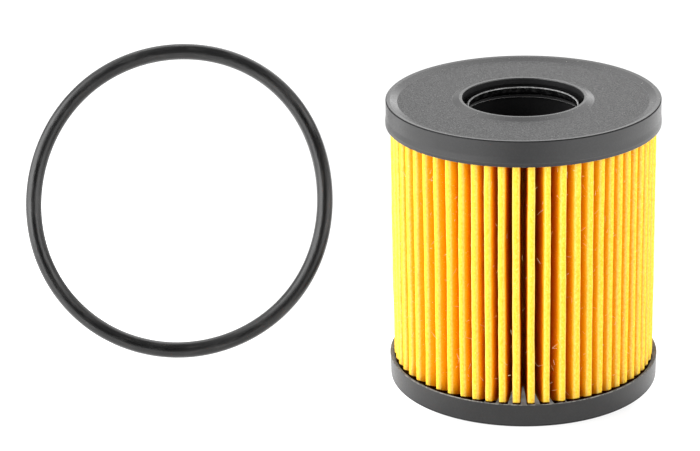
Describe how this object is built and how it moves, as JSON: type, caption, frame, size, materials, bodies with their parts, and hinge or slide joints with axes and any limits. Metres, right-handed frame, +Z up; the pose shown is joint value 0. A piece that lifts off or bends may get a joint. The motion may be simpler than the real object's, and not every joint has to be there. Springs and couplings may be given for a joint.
{
  "type": "oil filter element",
  "caption": "Cartridge oil filter element with black plastic end caps, yellow pleated paper and an open central bore, and beside it the loose rubber O-ring of the housing cover.",
  "frame": {"origin": "on the surface that the set stands on, midway across the set in plan; the element's axis is 46.2 mm along +X and 1.2 mm along -Y from it", "axes": "+X from the O-ring towards the element, +Z up along the element's axis"},
  "size_m": [0.1579, 0.0678, 0.0728],
  "materials": {
    "end_cap_plastic": "satin",
    "core_plastic": "satin",
    "filter_paper": "matte",
    "adhesive": "satin",
    "seal_rubber": "satin",
    "ring_rubber": "satin"
  },
  "bodies": {
    "element": {"top_end_cap": "end_cap_plastic", "bottom_end_cap": "end_cap_plastic", "pleated_media": "filter_paper", "centre_tube": "core_plastic", "top_potting": "adhesive", "bottom_potting": "adhesive", "media_side_seam": "adhesive", "top_bore_seal": "seal_rubber", "bottom_bore_seal": "seal_rubber"},
    "o_ring": {"cover_o_ring": "ring_rubber"}
  },
  "joints": [
    {"name": "ring_lift", "type": "slide", "parent": "element", "child": "o_ring", "axis": [0, 0, 1], "range_m": [0, 0.1]}
  ]
}
